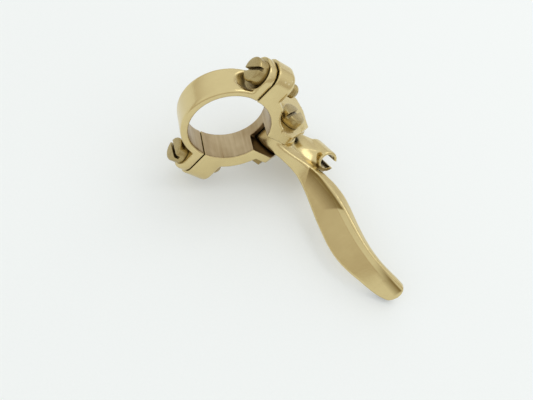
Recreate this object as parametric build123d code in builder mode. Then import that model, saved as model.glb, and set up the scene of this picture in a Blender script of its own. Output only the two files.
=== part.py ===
from build123d import *
import math
import os

# Handlebar control lever: two-piece ring clamp, slotted fork and a dog-leg finger lever

os.makedirs("parts", exist_ok=True)

# Handlebar and ring clamp (millimetres)
bar_diameter = 22.2
bore_radius = bar_diameter / 2 + 0.05
ring_width = 9.4
body_band_radius = 15.0
cap_band_radius = 13.3
parting_gap = 0.5

# Clamp ears either side of the bar on the parting line, cast a little low of its centre
ear_centre = 16.8
ear_shift = -0.4
cap_ear_end = 20.9
body_ear_end = 21.6
ear_corner_radius = 3.9
ear_edge_radius = 1.5
body_ear_length = 12.0
upper_ear_depth = 6.3
lower_ear_depth = 7.6
cap_ear_depth = 2.8
cap_relief_radius = 5.2
upper_seat_depth = 2.2
upper_seat_radius = 4.2

# Clamp screws, M4 slotted cheese head
clamp_screw_diameter = 4.0
clamp_screw_tip = 10.2
clamp_head_diameter = 6.8
clamp_head_height = 3.1
tapped_slack = 0.04
clearance_hole = 4.4

# Fork on the clamp body: cheeks above and below the lever
fork_top = 6.3
fork_bottom = -5.6
fork_rear = -16.8
fork_corner = 17.5
fork_outer = 27.0
fork_corner_radius = 1.2
slot_half = 2.9
slot_web = -1.0
slot_radius = 6.6
neck_scallop_out = 15.5
neck_scallop_side = 14.5
neck_scallop_radius = 7.5

# Pivot screw, M5 slotted cheese head, and its hexagon nut
pivot_along = -3.6
pivot_out = 18.5
pivot_diameter = 5.0
pivot_bore_slack = 0.1
pivot_head_diameter = 7.3
pivot_head_height = 3.1
pivot_recess_diameter = 11.2
pivot_recess_depth = 0.4
nut_width = 8.0
nut_height = 4.2
nut_turn = 12.0
pivot_tail = 0.6

# Screw driver slots
driver_slot_width = 1.2
driver_slot_depth = 1.3
upper_slot_turn = 45.0
lower_slot_turn = 5.0
pivot_slot_turn = 132.0

# Cable stop at the rear of the fork
stop_out = 31.5
stop_side = -2.4
stop_radius = 3.6
stop_front = -12.4
stop_seat_diameter = 5.2
stop_seat_depth = 3.0
wire_hole_diameter = 2.4

# Lever hub and arm plate
hub_radius = 6.0
hub_half = 2.75
plate_bottom = -2.5
plate_top = 0.9
arm_rear = -8.2
ramp_start = 25.0
ramp_end = 33.2

# Nipple barrel: open mouth forward, tilted up, wire slot facing outward
barrel_rear = (-3.9, 33.8, 0.8)
barrel_tilt = 22.0
barrel_length = 9.5
barrel_radius = 3.25
nipple_bore_radius = 2.2
nipple_bore_depth = 7.4
wire_slot_width = 2.0

# Finger blade: direction of its tip from the bar's line, and depth enough to clear its palm swell
tip_turn = 65.0
blade_depth = 9.0

# Lever plane: leans back from horizontal when the bar lies level along X
lean = math.radians(31.0)
pivot_direction = (0, math.sin(lean), math.cos(lean))
outward = (0, math.cos(lean), -math.sin(lean))
lever_plane = Plane(origin=(0, 0, 0), x_dir=(1, 0, 0), z_dir=pivot_direction)
bar_plane = Plane(origin=(0, 0, 0), x_dir=outward, z_dir=(1, 0, 0))
ear_plane = Plane(origin=(0, 0, 0), x_dir=pivot_direction, z_dir=outward)


def place(along, out, side):
    """Point from distances along the bar, outward from it, and toward the pivot head."""
    return lever_plane.from_local_coords(Vector(along, out, side))


half_gap = parting_gap / 2
upper_ear = ear_centre + ear_shift
lower_ear = -ear_centre + ear_shift
half_width = ring_width / 2
pivot_seat = fork_top - pivot_recess_depth
nut_seat = fork_bottom
pivot_end = nut_seat - nut_height - pivot_tail

# Clamp body: half band, tapped ears, fork, web and cable stop in one casting
with BuildPart() as clamp_body:
    with BuildSketch(bar_plane.offset(-half_width)):
        Circle(body_band_radius)
        with Locations((-body_band_radius + half_gap, 0)):
            Rectangle(2 * body_band_radius, 3 * body_band_radius, mode=Mode.SUBTRACT)
    extrude(amount=ring_width)
    for ear_side, ear_depth in ((1, upper_ear_depth), (-1, lower_ear_depth)):
        with BuildSketch(ear_plane.offset(half_gap)):
            with Locations((ear_shift + ear_side * (body_ear_end - body_ear_length / 2), 0)):
                RectangleRounded(body_ear_length, ring_width, ear_corner_radius)
        extrude(amount=ear_depth - half_gap)
        ear_edges = clamp_body.edges().filter_by(GeomType.CIRCLE).filter_by(
            lambda e: abs(e.radius - ear_corner_radius) < 0.01
            and abs((e @ 0.5).dot(Vector(*outward)) - ear_depth) < 0.01
            and abs((e @ 0.5).dot(Vector(*pivot_direction))) > ear_centre
        )
        fillet(ear_edges, radius=ear_edge_radius)
    with BuildSketch(lever_plane.offset(fork_bottom)) as fork_outline:
        with BuildLine():
            Polyline(
                (half_width, 9.0), (half_width, fork_corner), (-4.5, fork_outer),
                (-12.0, fork_outer + 0.1), (fork_rear, 25.6), (fork_rear, 21.6),
                (-half_width, 12.8), (-half_width, 9.0), close=True,
            )
        make_face()
        fillet(fork_outline.vertices().filter_by(lambda v: v.Y > 17), radius=fork_corner_radius)
    extrude(amount=fork_top - fork_bottom)
    with BuildSketch(Plane(origin=place(stop_front, 0, 0), x_dir=outward, z_dir=(-1, 0, 0))):
        with Locations((stop_out, -stop_side)):
            Circle(stop_radius)
        with Locations((stop_out - 5.0, -stop_side)):
            Rectangle(10.0, 2 * stop_radius)
    extrude(amount=stop_front - fork_rear)
    with BuildSketch(bar_plane.offset(fork_rear - 1)):
        Circle(bore_radius)
    extrude(amount=half_width - fork_rear + 2, mode=Mode.SUBTRACT)
    with BuildSketch(lever_plane.offset(-slot_half)):
        with BuildLine():
            Polyline(
                (slot_web, 8.0), (half_width + 1, 8.0), (half_width + 1, 40.0),
                (pivot_along - slot_radius, 40.0), (pivot_along - slot_radius, pivot_out),
                (slot_web, pivot_out), close=True,
            )
        make_face()
        with Locations((pivot_along, pivot_out)):
            Circle(slot_radius)
    extrude(amount=2 * slot_half, mode=Mode.SUBTRACT)
    with BuildSketch(bar_plane.offset(fork_rear - 1)):
        with Locations((neck_scallop_out, neck_scallop_side)):
            Circle(neck_scallop_radius)
    extrude(amount=half_width - fork_rear + 2, mode=Mode.SUBTRACT)
    with BuildSketch(ear_plane.offset(half_gap - 1)):
        with Locations((upper_ear, 0), (lower_ear, 0)):
            Circle((clamp_screw_diameter + tapped_slack) / 2)
    extrude(amount=lower_ear_depth + 2, mode=Mode.SUBTRACT)
    with BuildSketch(lever_plane.offset(fork_bottom - 1)):
        with Locations((pivot_along, pivot_out)):
            Circle((pivot_diameter + tapped_slack) / 2)
    extrude(amount=fork_top - fork_bottom + 2, mode=Mode.SUBTRACT)
    with BuildSketch(lever_plane.offset(pivot_seat)):
        with Locations((pivot_along, pivot_out)):
            Circle(pivot_recess_diameter / 2)
    extrude(amount=body_band_radius, mode=Mode.SUBTRACT)
    with BuildSketch(bar_plane.offset(fork_rear - 1)):
        with Locations((stop_out, stop_side)):
            Circle(wire_hole_diameter / 2)
    extrude(amount=stop_front - fork_rear + 2, mode=Mode.SUBTRACT)
    with BuildSketch(bar_plane.offset(fork_rear)):
        with Locations((stop_out, stop_side)):
            Circle(stop_seat_diameter / 2)
    extrude(amount=stop_seat_depth, mode=Mode.SUBTRACT)

# Clamp cap: thin half band with two ears spot-faced for the screw heads
with BuildPart() as clamp_cap:
    with BuildSketch(bar_plane.offset(-half_width)):
        Circle(cap_band_radius)
        with Locations((cap_band_radius - half_gap, 0)):
            Rectangle(2 * cap_band_radius, 3 * cap_band_radius, mode=Mode.SUBTRACT)
    extrude(amount=ring_width)
    with BuildSketch(ear_plane.offset(-cap_ear_depth)):
        with Locations((ear_shift, 0)):
            RectangleRounded(2 * cap_ear_end, ring_width, ear_corner_radius)
    extrude(amount=cap_ear_depth - half_gap)
    with BuildSketch(ear_plane.offset(-cap_ear_depth)):
        with Locations((upper_ear, 0), (lower_ear, 0)):
            Circle(cap_relief_radius)
    extrude(amount=-body_band_radius, mode=Mode.SUBTRACT)
    with BuildSketch(ear_plane.offset(-upper_seat_depth)):
        with Locations((upper_ear, 0)):
            Circle(upper_seat_radius)
    extrude(amount=-body_band_radius, mode=Mode.SUBTRACT)
    with BuildSketch(bar_plane.offset(-half_width - 1)):
        Circle(bore_radius)
    extrude(amount=ring_width + 2, mode=Mode.SUBTRACT)
    with BuildSketch(ear_plane.offset(-cap_ear_depth - 1)):
        with Locations((upper_ear, 0), (lower_ear, 0)):
            Circle(clearance_hole / 2)
    extrude(amount=cap_ear_depth + 2, mode=Mode.SUBTRACT)

# Clamp screws: shank from the cap seat to the tip, slotted cheese head outside the seat
with BuildPart() as clamp_screw_upper:
    with BuildSketch(ear_plane.offset(-upper_seat_depth)):
        with Locations((upper_ear, 0)):
            Circle(clamp_screw_diameter / 2)
    extrude(amount=upper_seat_depth + clamp_screw_tip)
    chamfer(clamp_screw_upper.faces().sort_by(Axis((0, 0, 0), outward))[-1].edges(), length=0.5)
    with BuildSketch(ear_plane.offset(-upper_seat_depth)):
        with Locations((upper_ear, 0)):
            Circle(clamp_head_diameter / 2)
    extrude(amount=-clamp_head_height)
    fillet(clamp_screw_upper.faces().sort_by(Axis((0, 0, 0), outward))[0].edges(), radius=0.5)
    with BuildSketch(ear_plane.offset(-upper_seat_depth - clamp_head_height)):
        with Locations(Location((upper_ear, 0, 0), (0, 0, upper_slot_turn))):
            Rectangle(clamp_head_diameter + 2, driver_slot_width)
    extrude(amount=driver_slot_depth, mode=Mode.SUBTRACT)

with BuildPart() as clamp_screw_lower:
    with BuildSketch(ear_plane.offset(-cap_ear_depth)):
        with Locations((lower_ear, 0)):
            Circle(clamp_screw_diameter / 2)
    extrude(amount=cap_ear_depth + clamp_screw_tip)
    chamfer(clamp_screw_lower.faces().sort_by(Axis((0, 0, 0), outward))[-1].edges(), length=0.5)
    with BuildSketch(ear_plane.offset(-cap_ear_depth)):
        with Locations((lower_ear, 0)):
            Circle(clamp_head_diameter / 2)
    extrude(amount=-clamp_head_height)
    fillet(clamp_screw_lower.faces().sort_by(Axis((0, 0, 0), outward))[0].edges(), radius=0.5)
    with BuildSketch(ear_plane.offset(-cap_ear_depth - clamp_head_height)):
        with Locations(Location((lower_ear, 0, 0), (0, 0, 90 - lower_slot_turn))):
            Rectangle(clamp_head_diameter + 2, driver_slot_width)
    extrude(amount=driver_slot_depth, mode=Mode.SUBTRACT)

# Pivot screw through both cheeks and the lever hub
with BuildPart() as pivot_screw:
    with BuildSketch(lever_plane.offset(pivot_end)):
        with Locations((pivot_along, pivot_out)):
            Circle(pivot_diameter / 2)
    extrude(amount=pivot_seat - pivot_end)
    chamfer(pivot_screw.faces().sort_by(Axis((0, 0, 0), pivot_direction))[0].edges(), length=0.5)
    with BuildSketch(lever_plane.offset(pivot_seat)):
        with Locations((pivot_along, pivot_out)):
            Circle(pivot_head_diameter / 2)
    extrude(amount=pivot_head_height)
    fillet(pivot_screw.faces().sort_by(Axis((0, 0, 0), pivot_direction))[-1].edges(), radius=0.5)
    with BuildSketch(lever_plane.offset(pivot_seat + pivot_head_height)):
        with Locations(Location((pivot_along, pivot_out, 0), (0, 0, pivot_slot_turn))):
            Rectangle(pivot_head_diameter + 2, driver_slot_width)
    extrude(amount=-driver_slot_depth, mode=Mode.SUBTRACT)

# Hexagon nut under the lower cheek
with BuildPart() as pivot_nut:
    with BuildSketch(lever_plane.offset(nut_seat - nut_height)):
        with Locations(Location((pivot_along, pivot_out, 0), (0, 0, nut_turn))):
            RegularPolygon(nut_width / 2, 6, major_radius=False)
            Circle((pivot_diameter + tapped_slack) / 2, mode=Mode.SUBTRACT)
    extrude(amount=nut_height)

# Finger lever: blade, hub, arm plate, ramp and nipple barrel in one casting
with BuildPart() as lever:
    with BuildSketch(lever_plane.offset(-blade_depth)):
        with BuildLine():
            inner_face = Spline(
                (1.9, 16.2), (3.2, 18.9), (4.8, 22.2), (7.4, 27.5), (13.6, 31.1), (22.5, 34.0),
                (30.6, 37.3), (37.7, 43.2), (42.5, 51.0), (44.2, 55.2),
            )
            outer_face = Spline(
                (42.2, 55.9), (40.4, 51.5), (36.3, 44.8), (30.0, 40.2), (24.0, 38.0),
                (18.0, 36.6), (12.0, 34.0), (5.4, 29.8), (1.0, 24.0), (-1.6, 19.0),
            )
            ThreePointArc(inner_face @ 1, (43.5, 56.2), outer_face @ 0)
            Line(outer_face @ 1, inner_face @ 0)
        make_face()
    extrude(amount=2 * blade_depth)
    tip = math.radians(tip_turn)
    flank = place(math.sin(tip), -math.cos(tip), 0)
    with BuildSketch(Plane(origin=(0, 0, 0), x_dir=pivot_direction, z_dir=-flank)):
        with BuildLine():
            upper_edge = Spline(
                (0.8, 10.0), (1.0, 21.0), (1.4, 25.5), (2.0, 29.5), (3.3, 33.9), (4.15, 37.3),
                (4.45, 40.5), (4.3, 44.5), (3.7, 50.0), (3.3, 56.5), (3.1, 61.0), (2.5, 65.7),
            )
            lower_edge = Spline(
                (-4.0, 66.1), (-4.9, 61.8), (-5.15, 57.0), (-5.9, 51.9), (-6.4, 47.0),
                (-6.2, 42.5), (-5.7, 38.4), (-4.75, 33.6), (-3.95, 29.9), (-2.6, 22.5),
                (-2.5, 18.0), (-2.5, 10.0),
            )
            ThreePointArc(upper_edge @ 1, (-0.8, 67.3), lower_edge @ 0)
            Line(lower_edge @ 1, upper_edge @ 0)
        make_face()
    extrude(amount=70, both=True, mode=Mode.INTERSECT)
    with BuildSketch(lever_plane.offset(plate_bottom)):
        with Locations((pivot_along, pivot_out)):
            Circle(hub_radius)
        with BuildLine():
            Polyline(
                (pivot_along - hub_radius, pivot_out), (arm_rear, 25.0), (arm_rear, 33.5),
                (-5.0, 36.4), (4.4, 36.4), (6.0, 33.4), (9.0, 31.2), (7.0, 27.4), (4.5, 22.4),
                (3.0, 19.0), (0.6, 15.7), (-1.0, 14.2), close=True,
            )
        make_face()
    extrude(amount=plate_top - plate_bottom)
    with BuildSketch(lever_plane.offset(-hub_half)):
        with Locations((pivot_along, pivot_out)):
            Circle(hub_radius)
    extrude(amount=2 * hub_half)
    tilt = math.radians(barrel_tilt)
    barrel_axis = place(math.cos(tilt), 0, math.sin(tilt))
    barrel_plane = Plane(origin=place(*barrel_rear), x_dir=outward, z_dir=barrel_axis)
    with BuildSketch(barrel_plane):
        Circle(barrel_radius)
    extrude(amount=barrel_length)
    with BuildSketch(Plane(origin=place(0, ramp_start, 0), x_dir=(1, 0, 0), z_dir=outward)):
        with BuildLine():
            Polyline((arm_rear, -plate_bottom), (5.4, -plate_bottom), (5.4, -plate_top + 0.1),
                     (-1.0, -plate_top + 0.05), (arm_rear, -plate_top + 0.1), close=True)
        make_face()
    with BuildSketch(Plane(origin=place(0, ramp_end, 0), x_dir=(1, 0, 0), z_dir=outward)):
        with BuildLine():
            Polyline((arm_rear, -plate_bottom), (5.2, -plate_bottom), (6.0, -0.9),
                     (3.6, -6.3), (-4.8, -3.2), close=True)
        make_face()
    loft()
    with BuildSketch(barrel_plane.offset(barrel_length)):
        Circle(nipple_bore_radius)
    extrude(amount=-nipple_bore_depth, mode=Mode.SUBTRACT)
    with BuildSketch(barrel_plane.offset(barrel_length + 1)):
        with Locations((barrel_radius, 0)):
            Rectangle(2 * barrel_radius, wire_slot_width)
        Circle(wire_slot_width / 2)
    extrude(amount=-barrel_length - 6, mode=Mode.SUBTRACT)
    with BuildSketch(lever_plane.offset(-hub_half - 1)):
        with Locations((pivot_along, pivot_out)):
            Circle((pivot_diameter + pivot_bore_slack) / 2)
    extrude(amount=2 * hub_half + 2, mode=Mode.SUBTRACT)

for label, built in (
    ("clamp_body", clamp_body), ("clamp_cap", clamp_cap),
    ("clamp_screw_upper", clamp_screw_upper), ("clamp_screw_lower", clamp_screw_lower),
    ("pivot_screw", pivot_screw), ("pivot_nut", pivot_nut), ("lever", lever),
):
    built.part.label = label
    export_step(built.part, f"parts/{label}.step")
    print(label, round(built.part.volume, 1), len(built.part.solids()))
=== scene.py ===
import math

import bmesh
import bpy
from mathutils import Matrix, Vector


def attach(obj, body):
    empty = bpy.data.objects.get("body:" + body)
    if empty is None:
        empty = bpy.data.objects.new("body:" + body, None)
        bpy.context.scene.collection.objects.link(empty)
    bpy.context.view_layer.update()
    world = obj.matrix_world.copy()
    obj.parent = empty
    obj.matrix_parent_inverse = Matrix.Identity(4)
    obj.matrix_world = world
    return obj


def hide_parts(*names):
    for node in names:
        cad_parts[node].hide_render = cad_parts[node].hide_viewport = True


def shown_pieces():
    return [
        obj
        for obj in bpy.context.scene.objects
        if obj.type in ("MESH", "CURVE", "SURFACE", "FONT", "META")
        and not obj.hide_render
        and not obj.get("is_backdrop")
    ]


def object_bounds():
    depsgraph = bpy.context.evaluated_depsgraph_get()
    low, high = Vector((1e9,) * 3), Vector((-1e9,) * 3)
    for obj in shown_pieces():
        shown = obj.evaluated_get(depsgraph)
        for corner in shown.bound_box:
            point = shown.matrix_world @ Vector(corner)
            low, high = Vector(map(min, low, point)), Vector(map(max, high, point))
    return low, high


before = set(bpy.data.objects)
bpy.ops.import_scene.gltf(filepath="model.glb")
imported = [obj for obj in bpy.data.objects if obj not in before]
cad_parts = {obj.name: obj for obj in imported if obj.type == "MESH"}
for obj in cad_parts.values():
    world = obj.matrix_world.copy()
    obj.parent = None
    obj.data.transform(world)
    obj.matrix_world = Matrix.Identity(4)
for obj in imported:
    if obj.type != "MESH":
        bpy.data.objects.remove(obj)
cadLow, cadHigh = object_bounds()  # the CAD box, before anything is added
mm = 0.001
easeFactor = 0.5  # how far each round of smoothing goes

# the lever's plane leans back from level, and pieces are drawn in it:
# along the bar, outward from it, and sideways toward the pivot screw's head
lean = math.radians(31)
alongWay = Vector((1, 0, 0))
outWay = Vector((0, math.cos(lean), -math.sin(lean)))
sideWay = Vector((0, math.sin(lean), math.cos(lean)))

# sockets that nodes number and don't name
mixFactor, mixFirst, mixSecond = 0, 6, 7  # of a colour Mix
multiplier, addend = 1, 2  # of a Multiply Add
rangeValue, fromLow, fromHigh, toLow, toHigh = 0, 1, 2, 3, 4  # of a Map Range


def rowPoint(along, out, side):
    return (alongWay * along + outWay * out + sideWay * side) * mm


def measured(point):
    # millimetres along, out and sideways, of a point in metres
    return tuple(point.dot(way) / mm for way in (alongWay, outWay, sideWay))


def ramp(value, width):
    # from 0 at 0 to 1 at width, and level on either side
    return min(1.0, max(0.0, value / width))


def linearColour(hexCode):
    channels = [int(hexCode[i:i + 2], 16) / 255 for i in (1, 3, 5)]
    linear = [c / 12.92 if c <= 0.04045 else ((c + 0.055) / 1.055) ** 2.4 for c in channels]
    return (*linear, 1.0)


def addNode(tree, kind, settings=None, values=None, links=None):
    # one node, with its settings, its socket values and what feeds it
    node = tree.nodes.new(kind)
    for key, value in (settings or {}).items():
        setattr(node, key, value)
    for key, value in (values or {}).items():
        node.inputs[key].default_value = value
    for key, socket in (links or {}).items():
        tree.links.new(socket, node.inputs[key])
    return node


# finishes: colours as seen on screen, sizes in millimetres
castLook = {
    "paintedDarkReflection": "#7E6532",  # painted dark reflection, in brown, on the blade's hollow
    "bright": "#DFCD98",  # freshly buffed
    "deep": "#CFBB88",  # a season after buffing
    "patinaAndShade": "#3A2716",  # polish residue and oxide where the wheel can't reach, darkened further as painted shade
    "edge": "#EFE2B8",  # corners rubbed bright
    "roughness": 0.20, "dullRoughness": 0.42,
    "cloudSize": 7.0, "lineSpacing": 0.35, "swellSize": 5.0, "pitSize": 1.1,
    "patinaAndShadeReach": 5.0, "swellHeight": 0.03, "lineHeight": 0.0012, "pitHeight": 0.006,
    "streakTone": 0.5,
}
boreLook = {
    "bright": "#C6B391", "deep": "#947C56", "patinaAndShade": "#3B2A1A", "edge": "#CDB98A",
    "roughness": 0.30, "dullRoughness": 0.5,
    "cloudSize": 7.0, "lineSpacing": 1.1, "swellSize": 6.0, "pitSize": 0.9,
    "patinaAndShadeReach": 3.4, "swellHeight": 0.012, "lineHeight": 0.006, "pitHeight": 0.006,
    "streakTone": 1.0,
}
# the slot's dark brown is partly unbuffed skin, partly painted shade
slotSkinAndShadeLook = {
    "bright": "#7A6140", "deep": "#4A3722", "patinaAndShade": "#1C120A", "edge": "#A58A5C",
    "roughness": 0.38, "dullRoughness": 0.6,
    "cloudSize": 3.0, "lineSpacing": 0.8, "swellSize": 2.5, "pitSize": 0.7,
    "patinaAndShadeReach": 5.0, "swellHeight": 0.02, "lineHeight": 0.004, "pitHeight": 0.02,
    "streakTone": 0.6,
}
screwLook = {
    "bright": "#C0AD7C", "deep": "#9C8859", "patinaAndShade": "#2E2013", "edge": "#CDB987",
    "roughness": 0.27, "dullRoughness": 0.48,
    "cloudSize": 2.2, "lineSpacing": 0.30, "swellSize": 2.5, "pitSize": 0.6,
    "patinaAndShadeReach": 1.6, "swellHeight": 0.014, "lineHeight": 0.002, "pitHeight": 0.004,
    "streakTone": 0.6,
}
# the nut's dark brown is painted shadow
shadedNutLook = dict(screwLook, bright="#8E7A52", deep="#5E4B30", edge="#A8925F")
wearAndShade = {
    "ridge": (0.55, 0.65), "ridgeMost": 0.85,  # how sharp an edge is before it's rubbed bright
    "closed": (0.74, 0.10), "closedMost": 0.94,  # how closed in a surface is before patina and painted shade set in
    "pit": (0.30, 0.42),  # how much of the grain is a pit
    "smear": 0.12,  # how far the lines change the roughness
}


def brass(name, look, lineStretch):
    # metal keeps its default IOR: the colour of brass is all in its reflection
    material = bpy.data.materials.new(name)
    material.use_nodes = True
    tree = material.node_tree
    tree.nodes.clear()
    place = addNode(tree, "ShaderNodeTexCoord").outputs["Object"]
    perMetre = 1 / mm
    cloud = addNode(tree, "ShaderNodeTexNoise",
                    values={"Scale": perMetre / look["cloudSize"], "Detail": 3.0, "Roughness": 0.55},
                    links={"Vector": place})
    # fine lines left by the wheel or the tool, a little coarser than life so that they show
    stretched = addNode(tree, "ShaderNodeMapping", values={"Scale": lineStretch}, links={"Vector": place})
    lines = addNode(tree, "ShaderNodeTexNoise",
                    values={"Scale": perMetre / look["lineSpacing"], "Detail": 2.0},
                    links={"Vector": stretched.outputs[0]})
    streaks = addNode(tree, "ShaderNodeMath", {"operation": "MULTIPLY_ADD"},
                      {multiplier: look["streakTone"], addend: -look["streakTone"] / 2},
                      {0: lines.outputs["Fac"]})
    blend = addNode(tree, "ShaderNodeMath", {"operation": "ADD", "use_clamp": True},
                    links={0: cloud.outputs["Fac"], 1: streaks.outputs[0]})
    tone = addNode(tree, "ShaderNodeMix", {"data_type": "RGBA"},
                   {mixFirst: linearColour(look["deep"]), mixSecond: linearColour(look["bright"])},
                   {mixFactor: blend.outputs[0]})
    # corners rubbed bright: pointiness is above a half on ridges
    shape = addNode(tree, "ShaderNodeNewGeometry")
    ridge = addNode(tree, "ShaderNodeMapRange",
                    values={fromLow: wearAndShade["ridge"][0], fromHigh: wearAndShade["ridge"][1],
                            toLow: 0.0, toHigh: wearAndShade["ridgeMost"]},
                    links={rangeValue: shape.outputs["Pointiness"]})
    rubbed = addNode(tree, "ShaderNodeMix", {"data_type": "RGBA"}, {mixSecond: linearColour(look["edge"])},
                     {mixFactor: ridge.outputs[0], mixFirst: tone.outputs[2]})
    # the blade's hollow gets a painted dark reflection, laid in its own attribute
    if "paintedDarkReflection" in look:
        paintedDarkReflection = addNode(tree, "ShaderNodeAttribute", {"attribute_name": "paintedDarkReflection"})
        rubbed = addNode(tree, "ShaderNodeMix", {"data_type": "RGBA"},
                         {mixSecond: linearColour(look["paintedDarkReflection"])},
                         {mixFactor: paintedDarkReflection.outputs["Fac"], mixFirst: rubbed.outputs[2]})
    # patina and painted shade in slots, seats and gaps, by how closed in the surface is
    closed = addNode(tree, "ShaderNodeAmbientOcclusion", {"samples": 12},
                     {"Distance": look["patinaAndShadeReach"] * mm})
    # partly real polish residue, partly painted shade where the surface is closed in
    depth = addNode(tree, "ShaderNodeMapRange", {"interpolation_type": "SMOOTHSTEP"},
                    {fromLow: wearAndShade["closed"][0], fromHigh: wearAndShade["closed"][1],
                     toLow: 0.0, toHigh: wearAndShade["closedMost"]},
                    {rangeValue: closed.outputs["AO"]})
    agedAndShaded = addNode(tree, "ShaderNodeMix", {"data_type": "RGBA"}, {mixSecond: linearColour(look["patinaAndShade"])},
                   {mixFactor: depth.outputs[0], mixFirst: rubbed.outputs[2]})
    swell = addNode(tree, "ShaderNodeTexNoise",
                    values={"Scale": perMetre / look["swellSize"], "Detail": 1.0, "Roughness": 0.4},
                    links={"Vector": place})
    pits = addNode(tree, "ShaderNodeTexNoise",
                   values={"Scale": perMetre / look["pitSize"], "Detail": 3.0, "Roughness": 0.7},
                   links={"Vector": place})
    pitCut = addNode(tree, "ShaderNodeMapRange",
                     values={fromLow: wearAndShade["pit"][0], fromHigh: wearAndShade["pit"][1], toLow: 0.0, toHigh: 1.0},
                     links={rangeValue: pits.outputs["Fac"]})
    swellBump = addNode(tree, "ShaderNodeBump",
                        values={"Strength": 1.0, "Distance": look["swellHeight"] * mm},
                        links={"Height": swell.outputs["Fac"]})
    lineBump = addNode(tree, "ShaderNodeBump",
                       values={"Strength": 1.0, "Distance": look["lineHeight"] * mm},
                       links={"Height": lines.outputs["Fac"], "Normal": swellBump.outputs[0]})
    pitBump = addNode(tree, "ShaderNodeBump",
                      values={"Strength": 1.0, "Distance": look["pitHeight"] * mm},
                      links={"Height": pitCut.outputs[0], "Normal": lineBump.outputs[0]})
    smear = addNode(tree, "ShaderNodeMath", {"operation": "MULTIPLY_ADD"},
                    {multiplier: wearAndShade["smear"], addend: look["roughness"] - wearAndShade["smear"] / 2},
                    {0: lines.outputs["Fac"]})
    finish = addNode(tree, "ShaderNodeMix", {"data_type": "FLOAT"}, {3: look["dullRoughness"]},
                     {0: depth.outputs[0], 2: smear.outputs[0]})
    shader = addNode(tree, "ShaderNodeBsdfPrincipled", values={"Metallic": 1.0},
                     links={"Base Color": agedAndShaded.outputs[2], "Roughness": finish.outputs[0],
                            "Normal": pitBump.outputs[0]})
    addNode(tree, "ShaderNodeOutputMaterial", links={"Surface": shader.outputs["BSDF"]})
    return material


# sand-cast brass buffed on a cloth wheel: a soft mirror, wavy from the hand that held it
castBrass = brass("buffedCastBrass", castLook, (1.0, 0.12, 0.12))
# bored brass drawn along the bar: greyer, with faint streaks along the bar's axis
boredBrass = brass("boredBrass", boreLook, (0.08, 1.0, 1.0))
# casting skin left in the fork's slot: brown, grainy and never buffed, and painted darker for the shade
# inside the slot
slotSkinAndShadeBrass = brass("unbuffedSkinAndPaintedShadeBrass", slotSkinAndShadeLook, (1.0, 0.3, 0.3))
# turned brass screw stock, handled and dull: fine lines, and slots darkened by patina and painted shade
turnedBrass = brass("turnedScrewBrass", screwLook, (0.3, 1.0, 1.0))
# the nut under the fork: the same stock, painted dark brown for the shadow it sits in
shadedNutBrass = brass("nutInPaintedShadeBrass", shadedNutLook, (0.3, 1.0, 1.0))
print("brass finishes made")


def newPiece(name, mesh, material, body, nodeName):
    piece = bpy.data.objects.new(name, mesh)
    bpy.context.scene.collection.objects.link(piece)
    mesh.materials.clear()
    mesh.materials.append(material)
    for vertex in mesh.vertices:  # never past the CAD box, even by a rounding error
        vertex.co = [min(max(*pair), top) for *pair, top in zip(vertex.co, cadLow, cadHigh)]
    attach(piece, body)
    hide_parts(nodeName)


def settled(mesh, *changes, holder=None):
    # a mesh with modifiers run and kept: each change is (kind, settings)
    holder = holder or bpy.data.objects.new("working", mesh)
    bpy.context.scene.collection.objects.link(holder)
    for kind, settings in changes:
        modifier = holder.modifiers.new(kind, kind)
        for key, value in settings.items():
            setattr(modifier, key, value)
    shown = holder.evaluated_get(bpy.context.evaluated_depsgraph_get())
    result = bpy.data.meshes.new_from_object(shown)
    bpy.data.objects.remove(holder)
    return result


def easedWhere(mesh, passes, weightAt):
    # corners eased by as much as weightAt(along, out, side) says, from none at 0
    holder = bpy.data.objects.new("eased", mesh)
    group = holder.vertex_groups.new(name="eased")
    for vertex in mesh.vertices:
        weight = weightAt(*measured(vertex.co))
        if weight > 0:
            group.add([vertex.index], min(1.0, weight), "REPLACE")
    return settled(mesh, ("SMOOTH", {"factor": easeFactor, "iterations": passes, "vertex_group": "eased"}),
                   holder=holder)


def softCasting(nodeName, voxel, passes, weightAt):
    # the CAD shape with its corners eased, as a casting leaves the polishing wheel
    mesh = settled(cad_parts[nodeName].data.copy(),
                   ("REMESH", {"mode": "VOXEL", "voxel_size": voxel * mm, "use_smooth_shade": True}))
    return easedWhere(mesh, passes, weightAt)


# clamp body and cap: millimetres, and rounds of smoothing
castingShape = {
    "voxel": {"clamp_body": 0.2, "clamp_cap": 0.17}, "passes": 11,
    "boreRadius": 11.15, "boreSkin": 0.35, "boreFacing": -0.75,  # what counts as bored
    "slotHalf": 2.9, "slotOut": (8, 27), "slotSkin": 0.3, "slotFacing": -1.2,  # the fork's cheeks, inside
    "webAlong": -0.6, "webOut": (8, 26), "webInset": 0.2,  # the wall at the slot's end
    "partingKept": 0.12, "partingFade": 2.2,
    "partingReach": 0.45, "partingPull": 0.4,
    "scoopCentre": 16.4, "scoopInner": 3.2, "scoopOuter": 6.6,  # round the upper screw's seat
    "scoopOut": -1.2, "scoopBelow": 0.8, "scoopFades": (0.8, 1.2), "scoopPasses": 90,
}
castFinish, boredFinish, slotSkinAndShadeFinish = range(3)  # material slots of a clamp casting
boreLimit = (castingShape["boreRadius"] + castingShape["boreSkin"]) * mm


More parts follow.
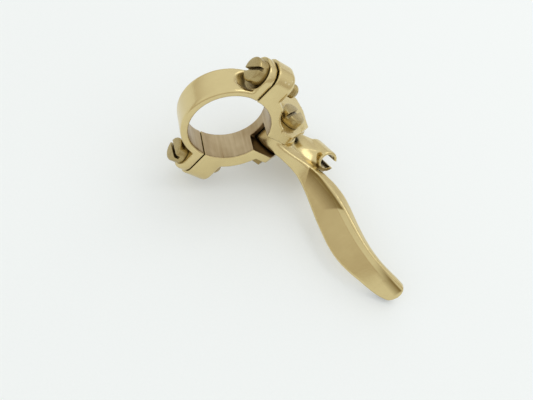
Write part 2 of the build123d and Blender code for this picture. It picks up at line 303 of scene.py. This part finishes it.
def finishOf(face):
    along, out, side = measured(face.center)
    radial = Vector((0, face.center.y, face.center.z))
    facing = face.normal.dot(radial.normalized())
    if radial.length < boreLimit and facing < castingShape["boreFacing"]:
        return boredFinish
    nearest, furthest = castingShape["slotOut"]
    onCheek = abs(abs(side) - castingShape["slotHalf"]) < castingShape["slotSkin"]
    if nearest < out < furthest and onCheek and face.normal.dot(sideWay) * side < castingShape["slotFacing"]:
        return slotSkinAndShadeFinish
    nearest, furthest = castingShape["webOut"]
    between = abs(side) < castingShape["slotHalf"] - castingShape["webInset"]
    if nearest < out < furthest and between and along < castingShape["webAlong"]:
        return slotSkinAndShadeFinish
    return castFinish


def markFinishes(mesh):
    # the bored half-round and the slot are other finishes on the same casting; the slot's is darkened as
    # painted shade too
    mesh.materials.append(boredBrass)
    mesh.materials.append(slotSkinAndShadeBrass)
    for face in mesh.polygons:
        face.material_index = finishOf(face)


def partingEase(along, out, side):
    # the faces that meet at the parting line keep their corners
    return castingShape["partingKept"] + abs(out) / castingShape["partingFade"]


def scoopEase(along, out, side):
    # the upper screw's seat runs out into the band as a hand-filed scoop
    centre, inner, outer = (castingShape[key] for key in ("scoopCentre", "scoopInner", "scoopOuter"))
    innerFade, outerFade = castingShape["scoopFades"]
    reach = math.hypot(along, side - centre)
    if out > castingShape["scoopOut"] or side > centre - castingShape["scoopBelow"]:
        return 0
    return min((reach - inner) / innerFade, (outer - reach) / outerFade)


def closeParting(mesh):
    # the cast halves sit a little closer than the drawing's clearance
    for vertex in mesh.vertices:
        out = vertex.co.dot(outWay) / mm
        if abs(out) < castingShape["partingReach"]:
            vertex.co -= outWay * out * castingShape["partingPull"] * mm


for pieceName, nodeName in (("clampBody", "clamp_body"), ("clampCap", "clamp_cap")):
    shape = softCasting(nodeName, castingShape["voxel"][nodeName], castingShape["passes"], partingEase)
    if nodeName == "clamp_cap":
        shape = easedWhere(shape, castingShape["scoopPasses"], scoopEase)
    closeParting(shape)
    newPiece(pieceName, shape, castBrass, "clamp", nodeName)
    markFinishes(shape)
    print(pieceName, len(shape.polygons), "faces")


# finger lever: station runs from the pivot toward the tip, side toward the pivot screw's head
leverShape = {
    "voxel": 0.19, "passes": 4, "webPasses": 36, "lastPasses": 3,
    "webAlong": (-8.5, 1.6), "webOut": (25.6, 30.6), "webSide": 0.4,  # the web from arm to barrel
    "tipTurn": math.radians(65),  # from the bar's line to the way the tip points
    "crease": (28.0, 2.0, -0.55),  # station, side and slant of the line where the hollow starts
    "deepest": 0.9, "deepestAt": 39.0, "shallow": 0.55, "runOut": (60.0, 66.5),
    "rim": ((30.0, 2.0), (37.0, 4.0), (66.0, 2.2)),  # station and side of the hollow's upper edge
    "rimWidth": 1.6, "hollowWidth": 8.0, "facing": (0.45, 0.3),
}
darkReflectionShape = {  # each line: station, side and slope of the darkest painted reflection
    "upper": (28.5, 1.7, 0.17), "upperEnd": (40.6, 3.9, 0.45), "upperFade": 5.4,
    "upperEdges": (0.35, 0.4),  # how fast it comes in past the crease, and goes out at its end
    "tip": (62.5, 1.9, -0.14), "tipStart": 54.0, "tipEnd": 66.2, "tipFade": 2.8, "tipEdges": (7, 0.5),
    "lineEdge": 0.5, "start": 27, "facing": 0.4,
}
bladeOnward = alongWay * math.cos(leverShape["tipTurn"]) + outWay * math.sin(leverShape["tipTurn"])
bladeInward = alongWay * math.sin(leverShape["tipTurn"]) - outWay * math.cos(leverShape["tipTurn"])


def webEase(along, out, side):
    # the web between the arm and the barrel is one smooth fillet
    if side < leverShape["webSide"]:
        return 0
    (rear, front), (near, far) = leverShape["webAlong"], leverShape["webOut"]
    return min(along - rear, front - along, out - near, far - out)


def rimSide(station):
    first, middle, last = leverShape["rim"]
    start, end = (first, middle) if station < middle[0] else (middle, last)
    return start[1] + (end[1] - start[1]) * (station - start[0]) / (end[0] - start[0])


def pastCrease(station, side):
    creaseStation, creaseSide, slant = leverShape["crease"]
    return station - creaseStation - slant * (side - creaseSide)


def hollowPalm(mesh):
    # the face that the finger rests on is ground hollow under its rim, from a crease below the neck
    deepest, deepestAt, shallow = (leverShape[key] for key in ("deepest", "deepestAt", "shallow"))
    outStart, outEnd = leverShape["runOut"]
    leastFacing, facingFade = leverShape["facing"]
    for vertex, normal in zip(mesh.vertices, [v.normal.copy() for v in mesh.vertices]):
        station = vertex.co.dot(bladeOnward) / mm
        side = vertex.co.dot(sideWay) / mm
        facing = normal.dot(bladeInward)
        past = pastCrease(station, side)
        if past < 0 or facing < leastFacing:
            continue
        if station < deepestAt:
            depth = deepest * past / (deepestAt - leverShape["crease"][0])
        else:
            depth = deepest + (shallow - deepest) * ramp(station - deepestAt, outStart - deepestAt)
        depth *= ramp(outEnd - station, outEnd - outStart)
        below = rimSide(station) - side
        across = 1 - ramp(below - leverShape["rimWidth"], leverShape["hollowWidth"])
        shape = ramp(below, leverShape["rimWidth"]) * across
        vertex.co -= bladeInward * depth * shape * mm * ramp(facing - leastFacing, facingFade)


def belowLine(line, station, side, fade):
    lineStation, lineSide, slope = line
    offset = lineSide + slope * (station - lineStation) - side
    return ramp(offset + darkReflectionShape["lineEdge"], darkReflectionShape["lineEdge"]) * (1 - ramp(offset, fade))


def paintDarkReflection(mesh):
    # painted dark reflection in the hollow: below the crease, and under the rim near the tip
    paintedDarkReflection = mesh.attributes.new("paintedDarkReflection", "FLOAT", "POINT")
    endStation, endSide, endSlant = darkReflectionShape["upperEnd"]
    creaseEdge, endEdge = darkReflectionShape["upperEdges"]
    tipIn, tipOut = darkReflectionShape["tipEdges"]
    for vertex in mesh.vertices:
        station = vertex.co.dot(bladeOnward) / mm
        side = vertex.co.dot(sideWay) / mm
        if vertex.normal.dot(bladeInward) < darkReflectionShape["facing"] or station < darkReflectionShape["start"]:
            continue
        ahead = endStation - endSlant * (endSide - side) - station
        upper = ramp(pastCrease(station, side), creaseEdge) * ramp(ahead, endEdge)
        upper *= belowLine(darkReflectionShape["upper"], station, side, darkReflectionShape["upperFade"])
        tip = ramp(station - darkReflectionShape["tipStart"], tipIn) * ramp(darkReflectionShape["tipEnd"] - station, tipOut)
        tip *= belowLine(darkReflectionShape["tip"], station, side, darkReflectionShape["tipFade"])
        paintedDarkReflection.data[vertex.index].value = max(upper, tip)


leverMesh = softCasting("lever", leverShape["voxel"], leverShape["passes"], lambda along, out, side: 1)
leverMesh = easedWhere(leverMesh, leverShape["webPasses"], webEase)
hollowPalm(leverMesh)
leverMesh = settled(leverMesh, ("SMOOTH", {"factor": easeFactor, "iterations": leverShape["lastPasses"]}))
# paints the dark reflection into the hollow of the blade
paintDarkReflection(leverMesh)
newPiece("fingerLever", leverMesh, castBrass, "lever", "lever")
print("fingerLever", len(leverMesh.polygons), "faces")


def turnedSolid(profile, thread, steps=72, rowsPerPitch=8):
    # a lathe shape along Z in millimetres; thread = (start, end, pitch, depth) cuts a helix into the shank
    threadStart, threadEnd, pitch, threadDepth = thread
    hair = 1e-6
    rows = []
    for (z0, r0), (z1, r1) in zip(profile, profile[1:]):
        cut = z0 >= threadStart - hair and z1 <= threadEnd + hair
        count = max(1, round((z1 - z0) / (pitch / rowsPerPitch))) if cut else 1
        rows += [(z0 + (z1 - z0) * i / count, r0 + (r1 - r0) * i / count, cut) for i in range(count)]
    rows.append((*profile[-1], False))
    build = bmesh.new()
    rings = []
    for z, radius, cut in rows:
        ring = []
        for i in range(steps):
            angle = 2 * math.pi * i / steps
            phase = (z / pitch - i / steps) % 1
            reach = radius - threadDepth * abs(2 * phase - 1) if cut else radius
            ring.append(build.verts.new((reach * math.cos(angle), reach * math.sin(angle), z)))
        rings.append(ring)
    for low, high in zip(rings, rings[1:]):
        for i in range(steps):
            build.faces.new((low[i], low[(i + 1) % steps], high[(i + 1) % steps], high[i]))
    build.faces.new(rings[0][::-1])
    build.faces.new(rings[-1])
    return build


def placedMesh(name, build, origin, axis, slotWay):
    # from millimetres along Z to metres at origin along axis
    across = (slotWay - axis * slotWay.dot(axis)).normalized()
    turn = Matrix((across, axis.cross(across), axis)).transposed().to_4x4()
    placing = Matrix.Translation(origin) @ turn @ Matrix.Scale(mm, 4)
    bmesh.ops.transform(build, matrix=placing, verts=build.verts)
    mesh = bpy.data.meshes.new(name)
    build.to_mesh(mesh)
    build.free()
    return mesh


def roundedHead(radius, height, corner, seatChamfer, steps=5):
    # half a head's outline from its seat to its top, with an eased corner
    points = [(0.0, radius - seatChamfer), (seatChamfer, radius)]
    for i in range(steps + 1):
        angle = math.pi / 2 * i / steps
        points.append((height - corner + corner * math.sin(angle),
                       radius - corner + corner * math.cos(angle)))
    return points


def slottedScrew(name, nodeName, origin, axis, slotWay, sizes):
    # head above the seat at Z 0, threaded shank below it
    reach, shank = sizes["reach"], sizes["shank"] / 2
    threadStart = -reach + sizes["tipLength"]
    threadEnd = threadStart + sizes["thread"]
    profile = [(-reach, shank - sizes["tipChamfer"]), (threadStart, shank), (threadEnd, shank),
               (-sizes["underHead"], shank)]
    profile += roundedHead(sizes["head"] / 2, sizes["height"], sizes["corner"], sizes["seatChamfer"])
    build = turnedSolid(profile, (threadStart, threadEnd, sizes["pitch"], sizes["threadDepth"]))
    screwMesh = placedMesh(name, build, origin, axis, slotWay)
    cutter = bmesh.new()
    cutterSize = (sizes["head"] + sizes["slotOverrun"], sizes["slotWidth"], 2 * sizes["slotDepth"])
    bmesh.ops.create_cube(cutter, size=1)
    bmesh.ops.scale(cutter, vec=cutterSize, verts=cutter.verts)
    bmesh.ops.translate(cutter, vec=(0, 0, sizes["height"]), verts=cutter.verts)
    cutterMesh = placedMesh(name + "Slot", cutter, origin, axis, slotWay)
    cutterHolder = bpy.data.objects.new(name + "Slot", cutterMesh)
    bpy.context.scene.collection.objects.link(cutterHolder)
    mesh = settled(screwMesh,
                   ("BOOLEAN", {"object": cutterHolder, "operation": "DIFFERENCE", "solver": "EXACT"}),
                   ("BEVEL", {"width": sizes["edge"] * mm, "segments": 2, "limit_method": "ANGLE",
                              "angle_limit": math.radians(sizes["bevelAbove"])}))
    bpy.data.objects.remove(cutterHolder)
    for face in mesh.polygons:
        face.use_smooth = True
    mesh.set_sharp_from_angle(angle=math.radians(sizes["sharpAbove"]))
    newPiece(name, mesh, turnedBrass, "clamp", nodeName)
    print(name, len(mesh.polygons), "faces")


def turnedFrom(firstWay, secondWay, degrees):
    return firstWay * math.cos(math.radians(degrees)) + secondWay * math.sin(math.radians(degrees))


clampScrew = {
    "shank": 4.0, "pitch": 0.7, "thread": 5.0, "threadDepth": 0.32, "tipLength": 0.45, "tipChamfer": 0.55,
    "head": 6.8, "height": 3.05, "corner": 0.55, "seatChamfer": 0.12, "edge": 0.13,
    "slotWidth": 1.0, "slotDepth": 1.4, "slotOverrun": 3, "underHead": 0.02,
    "bevelAbove": 50, "sharpAbove": 35,  # degrees
}
pivotScrew = dict(clampScrew, shank=5.0, pitch=0.8, thread=5.2, head=7.3, slotDepth=1.3, reach=16.3)
pivotPlace = {"seat": (-3.6, 18.5, 5.9), "slotTurn": 132}
earCentre, earShift = 16.8, -0.4
# name, node, the seat's out and side, the slot's turn in degrees, how far the shank reaches
for pieceName, nodeName, seatOut, side, slotTurn, reach in (
    ("clampScrewUpper", "clamp_screw_upper", -2.2, earCentre + earShift, 45, 12.4),
    ("clampScrewLower", "clamp_screw_lower", -2.8, -earCentre + earShift, 85, 13.0),
):
    slottedScrew(pieceName, nodeName, rowPoint(0, seatOut, side), -outWay,
                 turnedFrom(sideWay, alongWay, slotTurn), dict(clampScrew, reach=reach))
slottedScrew("pivotScrew", "pivot_screw", rowPoint(*pivotPlace["seat"]), sideWay,
             turnedFrom(alongWay, outWay, pivotPlace["slotTurn"]), pivotScrew)

# the nut stays as drawn, in stock painted dark for its shadow
for nodeName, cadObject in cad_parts.items():
    for materialSlot in cadObject.material_slots:
        materialSlot.material = shadedNutBrass if nodeName == "pivot_nut" else turnedBrass


floorSetting = {
    "size": 1.2, "normal": (0.163, 0.003, 0.986),  # metres, and the way that the floor faces
    "colour": "#DDDEDD", "fibre": "#D8DAD9", "grain": 0.6,  # grain in millimetres
    "roughness": 0.85, "shine": 0.2, "glow": "#F6FAFA", "glowStrength": 0.2,
}
floorNormal = Vector(floorSetting["normal"]).normalized()
lowest = min(floorNormal.dot(vertex.co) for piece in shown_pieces() for vertex in piece.data.vertices)
floorBuild = bmesh.new()
bmesh.ops.create_grid(floorBuild, x_segments=1, y_segments=1, size=floorSetting["size"] / 2)
floorMesh = bpy.data.meshes.new("floor")
floorBuild.to_mesh(floorMesh)
floorBuild.free()
floor = bpy.data.objects.new("floor", floorMesh)
bpy.context.scene.collection.objects.link(floor)
floor.rotation_mode = "QUATERNION"
floor.rotation_quaternion = Vector((0, 0, 1)).rotation_difference(floorNormal)
floor.location = floorNormal * lowest
floor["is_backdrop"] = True
# opal sheet lit a little from behind: no shine, and it thins the shadows
opal = bpy.data.materials.new("opalAcrylic")
opal.use_nodes = True
tree = opal.node_tree
sheet = tree.nodes["Principled BSDF"]
sheet.inputs["Roughness"].default_value = floorSetting["roughness"]
sheet.inputs["Specular IOR Level"].default_value = floorSetting["shine"]
sheet.inputs["Emission Color"].default_value = linearColour(floorSetting["glow"])
sheet.inputs["Emission Strength"].default_value = floorSetting["glowStrength"]
fibre = addNode(tree, "ShaderNodeTexNoise",
                values={"Scale": 1 / (floorSetting["grain"] * mm), "Detail": 4.0},
                links={"Vector": addNode(tree, "ShaderNodeTexCoord").outputs["Object"]})
shade = addNode(tree, "ShaderNodeMix", {"data_type": "RGBA"},
                {mixFirst: linearColour(floorSetting["fibre"]),
                 mixSecond: linearColour(floorSetting["colour"])},
                {mixFactor: fibre.outputs["Fac"]})
tree.links.new(shade.outputs[2], sheet.inputs["Base Color"])
floorMesh.materials.append(opal)


# a pale room, darker toward its walls, and one large softbox
roomLight = {
    "ceiling": "#F5F8F8", "wall": "#CFC9BE", "wallTop": 0.6, "strength": 1.0,
    "seen": "#EDF1F0",  # what shows past the floor's edge
}
skyPanel = {"position": (-0.05, 0.35, 0.6), "target": (0.02, 0.01, -0.01), "size": 0.5, "power": 0.8,
            "colour": "#FFFFFF"}  # metres and watts
world = bpy.data.worlds.new("paleRoom")
bpy.context.scene.world = world
world.use_nodes = True
tree = world.node_tree
tree.nodes.clear()
heading = addNode(tree, "ShaderNodeSeparateXYZ",
                  links={0: addNode(tree, "ShaderNodeTexCoord").outputs["Generated"]})
rise = addNode(tree, "ShaderNodeMapRange", {"interpolation_type": "SMOOTHSTEP"},
               {fromLow: 0.0, fromHigh: roomLight["wallTop"]}, {rangeValue: heading.outputs["Z"]})
sky = addNode(tree, "ShaderNodeMix", {"data_type": "RGBA"},
              {mixFirst: linearColour(roomLight["wall"]), mixSecond: linearColour(roomLight["ceiling"])},
              {mixFactor: rise.outputs[0]})
lit = addNode(tree, "ShaderNodeBackground", values={"Strength": roomLight["strength"]},
              links={"Color": sky.outputs[2]})
seen = addNode(tree, "ShaderNodeBackground", values={"Color": linearColour(roomLight["seen"])})
chooser = addNode(tree, "ShaderNodeMixShader",
                  links={0: addNode(tree, "ShaderNodeLightPath").outputs["Is Camera Ray"],
                         1: lit.outputs[0], 2: seen.outputs[0]})
addNode(tree, "ShaderNodeOutputWorld", links={"Surface": chooser.outputs[0]})


def softbox(name, look):
    lamp = bpy.data.lights.new(name, "AREA")
    lamp.shape = "RECTANGLE"
    lamp.size = lamp.size_y = look["size"]
    lamp.energy = look["power"]
    lamp.color = linearColour(look["colour"])[:3]
    holder = bpy.data.objects.new(name, lamp)
    bpy.context.scene.collection.objects.link(holder)
    holder.location = look["position"]
    holder.rotation_mode = "QUATERNION"
    holder.rotation_quaternion = (Vector(look["position"]) - Vector(look["target"])).to_track_quat("Z", "Y")


softbox("skyPanel", skyPanel)
print("floor and light set")


cameraView = {  # millimetres and degrees, and the clip in metres
    "target": (21.7, 8.3, -9.6), "distance": 174.0, "azimuth": 66.81, "elevation": 48.39,
    "roll": 15.44, "lens": 44.36, "sensor": 36, "clip": 0.01,
}
azimuth, elevation = math.radians(cameraView["azimuth"]), math.radians(cameraView["elevation"])
backward = Vector((math.sin(azimuth) * math.cos(elevation), -math.cos(azimuth) * math.cos(elevation),
                   math.sin(elevation)))
cameraData = bpy.data.cameras.new("camera")
cameraData.lens = cameraView["lens"]
cameraData.sensor_width = cameraView["sensor"]
cameraData.clip_start = cameraView["clip"]
camera = bpy.data.objects.new("camera", cameraData)
bpy.context.scene.collection.objects.link(camera)
camera.location = Vector(cameraView["target"]) * mm + backward * cameraView["distance"] * mm
camera.rotation_mode = "QUATERNION"
camera.rotation_quaternion = ((-backward).to_track_quat("-Z", "Y")
                              @ Matrix.Rotation(math.radians(cameraView["roll"]), 3, "Z").to_quaternion())
bpy.context.scene.camera = camera
bpy.context.scene.view_settings.view_transform = "Standard"
